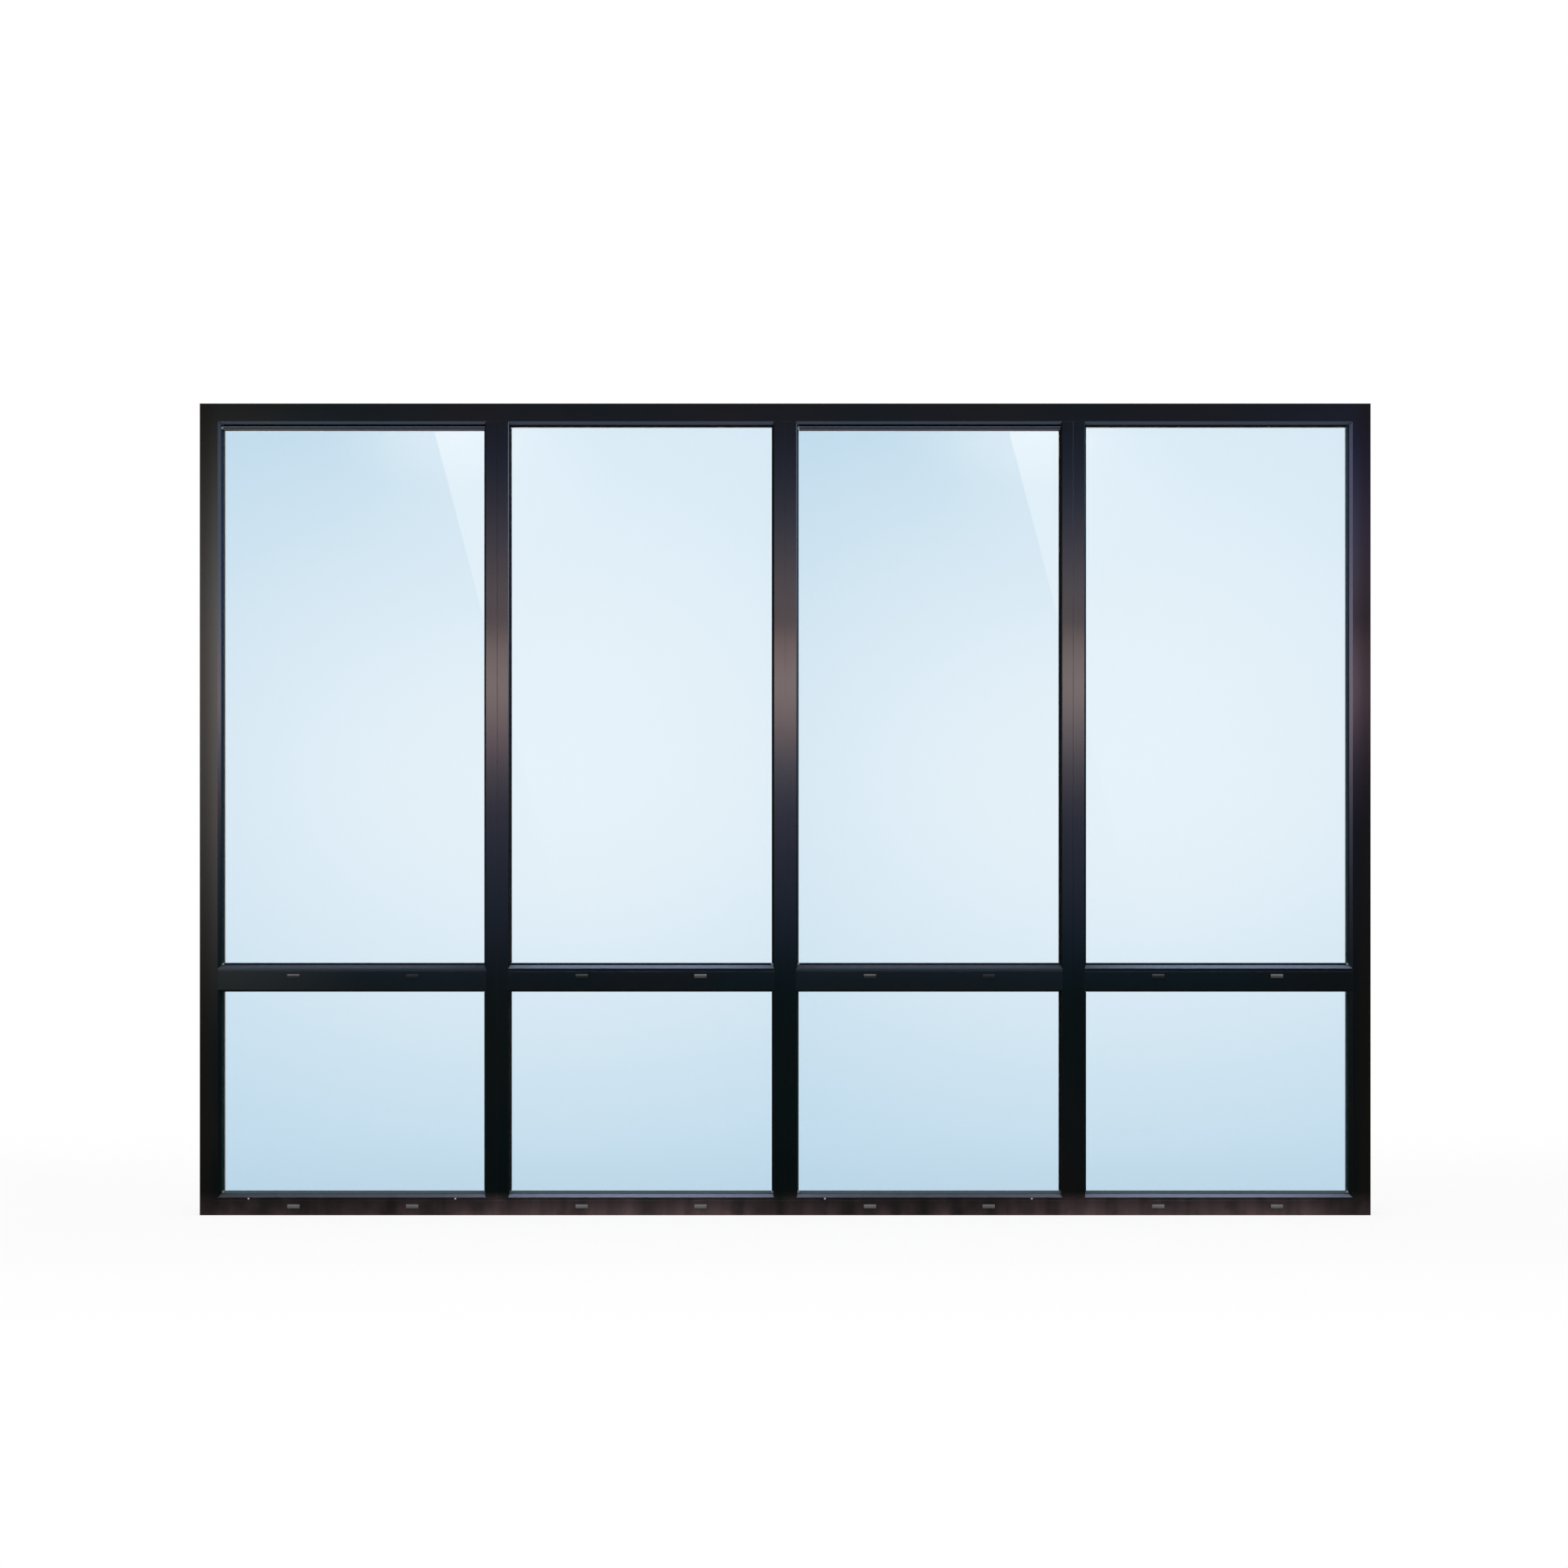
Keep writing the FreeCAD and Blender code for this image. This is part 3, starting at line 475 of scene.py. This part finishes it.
def cover_strips():
    """A folded outline in Y and Z, drawn straight along X in two bays, its ends eased."""
    head_tip, start, stop, ease = 2.026, -1.4408, -0.76975, 0.0002
    corners = [(-0.0480, -0.0035), (-0.0480, -0.0052), (-0.0412, -0.0122), (-0.0412, -0.0148),
               (-0.0332, -0.0148), (-0.0332, -0.0060), (-0.0372, -0.0050), (-0.0372, -0.0035)]
    outline = rounded_profile(corners, 0.0005, 5)
    ends = np.array([start, start + ease, stop - ease, stop])
    shrink = np.array([0.94, 1.0, 1.0, 0.94])[None, :, None, None]
    middle = outline.mean(axis=0)
    points = np.empty((2, 4, len(outline), 3))
    points[..., 1:] = middle + (outline - middle) * shrink + (0, head_tip)
    points[..., 0] = ends[None, :, None] + np.array([0, 2 * BAY_PITCH])[:, None, None]
    coat = powder_coat("strip_coat", 0.075, BRONZE)
    closed_piece("head_cover_strips", points, coat)


cover_strips()

# Corner seals: small dabs of pale grey sealant, pressed into the corners where the gaskets
# meet, at the outer side of each pair of bays and at the jamb end of each cover strip.


def pale_sealant():
    """Cured sealant, slightly uneven, with dirt in its skin."""
    material, tree, shader = finish_named("pale_grey_sealant")
    skin = use(tree, skin_group, grain_size=0.0012, cloud_size=0.004)
    clean, dirty = (0.30, 0.34, 0.33, 1), (0.17, 0.19, 0.185, 1)
    colour = blend_colours(tree, skin["clouds"], clean, dirty)
    bump = relief(tree, skin["height"], 0.6, 0.0003)
    feed(tree, shader, Base_Color=colour, Roughness=0.5, Normal=bump)
    return material


def corner_seals():
    """Lumpy flattened balls: an ellipsoid whose radius swells and shrinks round each corner."""
    half_length, half_width, half_depth = 0.0042, 0.0032, 0.0022
    left, right = (-1.4432, 0.0335), (-0.0333, 1.4432)
    strip, upper, lower = (2.0185, -0.0440), (0.6420, -0.0375), (0.0573, -0.0375)
    places = [(x, *spot, 1) for x in left for spot in (strip, upper, lower)]
    places += [(x, *spot, -1) for x in right for spot in (upper, lower)]
    places = np.array(places)[:, :, None, None]
    slope = np.linspace(0.15, np.pi - 0.15, 14)[None, :, None]
    turn = np.linspace(0, 2 * np.pi, 24, endpoint=False)[None, None, :]
    swell = 1 + 0.13 * np.sin(3 * turn + 900 * places[:, 0]) + 0.08 * np.cos(2 * turn + 5 * slope)
    along = half_length * swell * np.sin(slope) * np.cos(turn)
    across = half_width * swell * np.sin(slope) * np.sin(turn)
    x = places[:, 0] + (along + across) * places[:, 3] * np.sqrt(0.5)
    z = places[:, 1] + (along - across) * np.sqrt(0.5)
    y = places[:, 2] - half_depth * np.cos(slope) + 0 * x
    closed_piece("corner_seals", np.stack([x, y, z], axis=-1), pale_sealant())


corner_seals()

# Sill screws: small pan-head screws of stainless steel with a cross recess, two in the sill of
# the first and third bays, driven through the strip above the fine line into the drained part.
FACE_Y = -0.054


def stainless_steel():
    """Bright steel, slightly greyed, with the marks of the driver."""
    material, tree, shader = finish_named("stainless_steel")
    skin = use(tree, skin_group, grain_size=0.0003, cloud_size=0.003)
    clean, dull = (0.62, 0.61, 0.60, 1), (0.40, 0.39, 0.38, 1)
    colour = blend_colours(tree, skin["clouds"], clean, dull)
    roughness = maths(tree, "MULTIPLY_ADD", skin["streaks"], 0.2, 0.25)
    feed(tree, shader, Base_Color=colour, Roughness=roughness, Metallic=1.0)
    return material


def sill_screws():
    """Low domes in polar rows: height falls off as a half ellipse, minus a soft-edged cross.

    The last row goes a little way into the sill.
    """
    radius, dome, arm_width, arm_length, recess = 0.0022, 0.0012, 0.0007, 0.0026, 0.0009
    side_slope, end_slope, rim, root, above_sill = 0.00012, 0.0002, 0.85, -0.0003, 0.0428
    middles = np.array([-1.375, -0.845, 0.1015, 0.6315])[:, None, None]
    away = np.append(np.linspace(0.02, 1, 22), 1.0)[None, :, None]
    turn = np.linspace(0, 2 * np.pi, 56, endpoint=False)[None, None, :]
    x, z = radius * away * np.cos(turn), radius * away * np.sin(turn)
    spun = 0.4 + 1.3 * np.arange(4)[:, None, None]
    one, other = x * np.cos(spun) + z * np.sin(spun), z * np.cos(spun) - x * np.sin(spun)
    inside = arm_width / 2 - np.minimum(abs(one), abs(other))
    short = arm_length / 2 - np.maximum(abs(one), abs(other))
    cross = np.clip(inside / side_slope, 0, 1) * np.clip(short / end_slope, 0, 1)
    height = dome * np.sqrt(np.clip(1 - rim * away ** 2, 0, 1)) - recess * cross
    height[:, -1] = root
    x, z = middles + x + 0 * height, above_sill + z + 0 * height
    points = np.stack([x, FACE_Y - height, z], axis=-1)
    closed_piece("sill_screws", points, stainless_steel())


sill_screws()

# Floor: a wide pale studio floor that the window stands on. It is seen as white, and keeps a
# faint shadow of the window.


def looked_at(tree):
    """One for rays from the camera, through glass and by reflection, none for scattered light."""
    path = add(tree, "LightPath").outputs
    seen = maths(tree, "MAXIMUM", path["Is Camera Ray"], path["Is Transmission Ray"])
    return maths(tree, "MAXIMUM", seen, path["Is Glossy Ray"])


def studio_floor():
    """A square of 30 metres under the window, whose shadow fades out within two metres of it."""
    half, half_window, shadow_near, shadow_far = 15.0, 1.5, 0.2, 2.0
    corners = [(-half, -half, 0), (half, -half, 0), (half, half, 0), (-half, half, 0)]
    mesh = bpy.data.meshes.new("studio_floor")
    mesh.from_pydata(corners, [], [(0, 1, 2, 3)])
    floor = bpy.data.objects.new("studio_floor", mesh)
    bpy.context.scene.collection.objects.link(floor)
    material, tree, shader = finish_named("white_floor")
    place, x, y, _ = place_on_piece(tree)
    mottle = add(tree, "TexNoise", {"Vector": place, "Scale": 2.0})
    tones = (0.80, 0.80, 0.80, 1), (0.82, 0.82, 0.82, 1)
    colour = blend_colours(tree, mottle.outputs["Fac"], *tones)
    feed(tree, shader, Base_Color=colour, Roughness=0.9, Specular_IOR_Level=0.0)
    white = add(tree, "Emission", {"Color": (1, 1, 1, 1), "Strength": 1.0})
    away = maths(tree, "SUBTRACT", maths(tree, "ABSOLUTE", x), half_window)
    away = maths(tree, "MAXIMUM", away, maths(tree, "ABSOLUTE", y))
    white_share = passing(tree, away, shadow_near, shadow_far, 0.86, 1.0, soft=True)
    share = maths(tree, "MULTIPLY", looked_at(tree), white_share)
    mix = add(tree, "MixShader", {0: share, 1: shader.outputs[0], 2: white.outputs[0]})
    tree.links.new(mix.outputs[0], tree.nodes["Material Output"].inputs["Surface"])
    mesh.materials.append(material)


studio_floor()

# Studio: a white surround for what is seen directly or mirrored, a dimmer one for light, a
# large soft lamp overhead, and a weaker one in front that shows in no reflection.
SOFT_LIGHT = 0.6
world = bpy.data.worlds.new("studio")
bpy.context.scene.world = world
world.use_nodes = True
sky = world.node_tree
background = sky.nodes["Background"]
background.inputs["Color"].default_value = (1, 1, 1, 1)
sky.links.new(maths(sky, "MAXIMUM", looked_at(sky), SOFT_LIGHT), background.inputs["Strength"])


def lamp(name, radiance, place, aim, width, height, colour=(1, 1, 1)):
    """A soft rectangular lamp. Its power is its radiance times its area times pi."""
    light = bpy.data.lights.new(name, "AREA")
    light.shape = "RECTANGLE"
    light.size, light.size_y = width, height
    light.energy = radiance * width * height * math.pi
    light.color = colour
    item = bpy.data.objects.new(name, light)
    bpy.context.scene.collection.objects.link(item)
    item.location = place
    item.rotation_mode = "QUATERNION"
    item.rotation_quaternion = (Vector(aim) - Vector(place)).to_track_quat("-Z", "Y")
    item.visible_camera = False
    item.visible_transmission = False
    return item


lamp("overhead", 1.6, place=(0, -1.0, 5.0), aim=(0, -0.2, 0), width=6.0, height=5.0)
fill = lamp("front_fill", 0.6, place=(-3.5, -5.0, 3.0), aim=(0, 0, 1.0), width=3.0, height=3.0)
fill.visible_glossy = False

# Reflection cards: soft panels that show only as reflections, one in the coated metal and one
# in the glass. They stand between the camera and the window and let everything else past.
CAMERA_X, CAMERA_HEIGHT, CAMERA_DISTANCE = -0.0031, 1.105, 8.0


def only_on(name, names):
    """The pieces that a card or lamp shines on."""
    chosen = bpy.data.collections.new("mirrors_" + name)
    for piece in names:
        chosen.objects.link(nodes[piece] if piece in nodes else bpy.data.objects[piece])
    return chosen


def reflection_card(name, card_distance, low, high, pieces):
    """A flat panel in front of the window and its emission's tree.

    Its UV map holds, in metres, the place on the window where the camera sees each point
    mirrored: distances from the camera's axis shrink by the ratio of the two light paths.
    """
    grow = (CAMERA_DISTANCE + card_distance) / CAMERA_DISTANCE
    middle = np.array([CAMERA_X, CAMERA_HEIGHT])
    seen_at = np.array([low, (high[0], low[1]), high, (low[0], high[1])])
    spots = middle + (seen_at - middle) * grow
    points = np.insert(spots, 1, FACE_Y - card_distance, axis=1)
    mesh = bpy.data.meshes.new(name)
    mesh.from_pydata(points.tolist(), [], [(0, 1, 2, 3)])
    mesh.uv_layers.new(name="seen_at").data.foreach_set("uv", seen_at.ravel())
    card = bpy.data.objects.new(name, mesh)
    bpy.context.scene.collection.objects.link(card)
    for kind in ("camera", "diffuse", "transmission", "shadow", "volume_scatter"):
        setattr(card, "visible_" + kind, False)
    card.light_linking.receiver_collection = only_on(name, pieces)
    material, tree, _ = finish_named(name)
    mesh.materials.append(material)
    glow = add(tree, "Emission")
    clear = add(tree, "BsdfTransparent")
    both = add(tree, "AddShader", {0: glow.outputs[0], 1: clear.outputs[0]})
    tree.links.new(both.outputs[0], tree.nodes["Material Output"].inputs["Surface"])
    spot = add(tree, "SeparateXYZ", {0: add(tree, "UVMap", uv_map="seen_at").outputs[0]})
    return tree, glow, spot.outputs["X"], spot.outputs["Y"]


# In the metal: a dim wall with a warm strip of daylight at eye level. Each row of ROOM gives a
# share of the window's height, and the wall's colour and brightness there. Beside the left jamb
# the wall turns into a broad weaker patch. Beside the right jamb it is violet, dim up to the
# shoulder, and dimmer still below the waist.
ROOM = [
    (0.28, (0.1, 0.6, 0.8), 0.6), (0.35, (0.35, 0.5, 1.0), 5.8), (0.50, (0.6, 0.6, 1.0), 14.0),
    (0.55, (0.92, 0.74, 0.98), 24.0), (0.60, (1.0, 0.71, 0.75), 55.0),
    (0.65, (1.0, 0.72, 0.71), 89.0), (0.71, (1.0, 0.71, 0.68), 61.0),
    (0.728, (1.0, 0.72, 0.86), 21.0), (0.757, (1.0, 0.77, 0.84), 35.0),
    (0.84, (0.83, 0.70, 1.0), 18.5), (0.90, (0.65, 0.60, 1.0), 10.5),
    (0.96, (0.4, 0.4, 1.0), 6.0), (0.98, (1.0, 0.8, 1.0), 3.0)]
WINDOW_HEIGHT, EYE_LEVEL, BRIGHTEST = 2.08, 1.42, 90.0
NEAR_JAMB, AT_JAMB = 1.1, 1.4
mirrors = metal + ["head_cover_strips"]
card = reflection_card("room_in_metal", 0.5, (-1.7, 0.16), (1.7, 2.15), mirrors)
tree, glow, seen_x, seen_z = card
ramp = add(tree, "ValToRGB", {"Fac": maths(tree, "DIVIDE", seen_z, WINDOW_HEIGHT)})
stops = ramp.color_ramp.elements
for number, (at, colour, level) in enumerate(ROOM):
    stop = stops[number] if number < 2 else stops.new(at)
    stop.position = at
    stop.color = [level / BRIGHTEST * part for part in colour] + [1]
patch_above = passing(tree, seen_z, EYE_LEVEL, 2.17, 1.0, 0.03, soft=True)
patch_below = passing(tree, seen_z, 0.40, EYE_LEVEL, 0.03, 1.0, soft=True)
patch = maths(tree, "MULTIPLY", patch_above, patch_below)
patch = blend_colours(tree, patch, (0, 0, 0, 1), (0.46, 0.41, 0.39, 1))
left = passing(tree, seen_x, -NEAR_JAMB, -AT_JAMB)
right = passing(tree, seen_x, NEAR_JAMB, AT_JAMB)
seen_room = blend_colours(tree, left, ramp.outputs["Color"], patch)
violet = {0: right, 6: seen_room, 7: (1.03, 0.94, 1.30, 1)}
seen_room = add(tree, "Mix", violet, data_type="RGBA", blend_type="MULTIPLY").outputs[2]
shoulder = passing(tree, seen_z, 1.55, 1.85, 1.0, -0.6)
waist = passing(tree, seen_z, 1.0, 1.3, 1.5, 1.0)
dimmed = maths(tree, "MULTIPLY", maths(tree, "MULTIPLY", right, shoulder), waist)
level = maths(tree, "MULTIPLY_ADD", dimmed, -0.55 * BRIGHTEST, BRIGHTEST)
feed(tree, glow, Color=seen_room, Strength=level)


def mirrored_lamp(name, radiance, pieces, tint=(0.52, 0.67, 1.0), **stand):
    """A lamp, cool unless told otherwise, that shows only as a reflection in the pieces named."""
    item = lamp(name, radiance, colour=tint, **stand)
    item.light_linking.receiver_collection = only_on(name, pieces)
    item.visible_diffuse = False


# Over the ledges, beside the reveals and under the head: cool panels that light the bevels.
# The ledges of the second and fourth bays mirror a brighter panel than the other two.
for number, radiance in zip(NUMBERS, (23.0, 96.0, 23.0, 96.0)):
    x = 1.4 * BAY_PITCH * (number - 2.5)
    above = {"place": (x, -0.5, 3.2), "aim": (x, -0.3, 0), "width": 0.95, "height": 1.4}
    ledges = (f"transom_{number}_front", "sill_front")
    mirrored_lamp(f"ledge_light_{number}", radiance, ledges, **above)
above = {"place": (0, -0.5, 3.2), "aim": (0, -0.3, 0), "width": 3.4, "height": 1.4}
mirrored_lamp("sill_light", 20.0, ["sill_front"], **above)
beside = {"place": (4.5, -0.6, 2.1), "aim": (0, -0.2, 1.9), "width": 1.6, "height": 1.5}
uprights = [name for name in metal if "jamb" in name or name.startswith("mullion")]
uprights.remove("left_jamb_front")
mirrored_lamp("side_light", 78.0, uprights + ["weather_gaskets"], **beside)
mirrored_lamp("left_reveal_light", 50.0, ["left_jamb_front"], **beside)
beside["place"] = (-4.5, -0.6, 2.1)
mirrored_lamp("right_reveal_light", 66.0, ["right_jamb_front"], tint=(0.62, 0.60, 1.0), **beside)
below = {"place": (0, -0.5, 0.02), "aim": (0, -0.4, 2.0), "width": 4.4, "height": 1.2}
mirrored_lamp("floor_light", 25.0, ["head_front", "head_back"], **below)
mirrored_lamp("strip_light", 4.0, ["head_cover_strips"], **below)

# Behind the window: a broad warm panel that gives the room-side shells, beads and gaskets a
# soft sheen.
room_side = [name for name in metal if name.endswith(("back", "beads"))] + ["room_gaskets"]
behind = {"place": (-0.8, 5.5, 1.7), "aim": (0, 0, 1.0), "width": 4.6, "height": 1.4}
mirrored_lamp("room_lamp", 20.0, room_side, tint=(1.0, 0.90, 0.84), **behind)

# In the glass: a bright wall whose slanting edge shows across each pair of bays, stronger
# towards the top, and two soft glows beside it under the head. It ends where the outer panes
# begin to show the dark beads behind them, so that those stay dark.
GLASS_TOP, EDGE_X_AT_TOP, EDGE_LEAN, EDGE_SOFTNESS = 2.0115, -0.9033, 0.262, 0.004
BEADS_SHOW = 1.4375
card = reflection_card("wall_in_glass", 5.0, (-1.7, 0.45), (1.7, 2.15), panes)
tree, glow, seen_x, seen_z = card
pair_x = across_pair(tree, seen_x)
below_top = maths(tree, "SUBTRACT", GLASS_TOP, seen_z)
edge_x = maths(tree, "MULTIPLY_ADD", below_top, EDGE_LEAN, EDGE_X_AT_TOP)
past_edge = passing(tree, maths(tree, "SUBTRACT", pair_x, edge_x), 0.0, EDGE_SOFTNESS)
low_part = maths(tree, "MULTIPLY", passing(tree, seen_z, 0.6, 1.9), 0.85)
high_part = maths(tree, "POWER", passing(tree, seen_z, 1.2, 1.99), 1.5)
wall = maths(tree, "MULTIPLY_ADD", high_part, 2.2, low_part)
wall = maths(tree, "MULTIPLY", wall, past_edge)


def soft_spot(x, z, across, up, strength):
    """A glow that falls off smoothly to nothing at the rim of an ellipse."""
    from_x = maths(tree, "DIVIDE", maths(tree, "SUBTRACT", pair_x, x), across)
    from_z = maths(tree, "DIVIDE", maths(tree, "SUBTRACT", seen_z, z), up)
    square = maths(tree, "MULTIPLY_ADD", from_x, from_x, maths(tree, "MULTIPLY", from_z, from_z))
    return passing(tree, maths(tree, "SQRT", square), 0.0, 1.0, strength, 0.0, soft=True)


wide_glow = soft_spot(-0.785, 1.98, 0.42, 0.42, 1.1)
near_glow = soft_spot(-0.890, 2.022, 0.333, 0.187, 2.1)
wall = maths(tree, "ADD", wall, maths(tree, "ADD", wide_glow, near_glow))
clear_of_beads = maths(tree, "LESS_THAN", maths(tree, "ABSOLUTE", seen_x), BEADS_SHOW)
wall = maths(tree, "MULTIPLY", wall, clear_of_beads)
feed(tree, glow, Color=(1.0, 0.72, 0.50, 1), Strength=wall)

# Camera: stands 8 m in front of the weather face, level, at the height of the glass's middle.
PICTURE_WIDTH = 4.0166
camera_data = bpy.data.cameras.new("camera")
camera = bpy.data.objects.new("camera", camera_data)
bpy.context.scene.collection.objects.link(camera)
bpy.context.scene.camera = camera
camera.location = (CAMERA_X, FACE_Y - CAMERA_DISTANCE, CAMERA_HEIGHT)
camera.rotation_euler = (math.radians(90), 0, 0)
camera_data.sensor_width = 36.0
camera_data.lens = camera_data.sensor_width * CAMERA_DISTANCE / PICTURE_WIDTH
bpy.context.scene.view_settings.view_transform = "Standard"
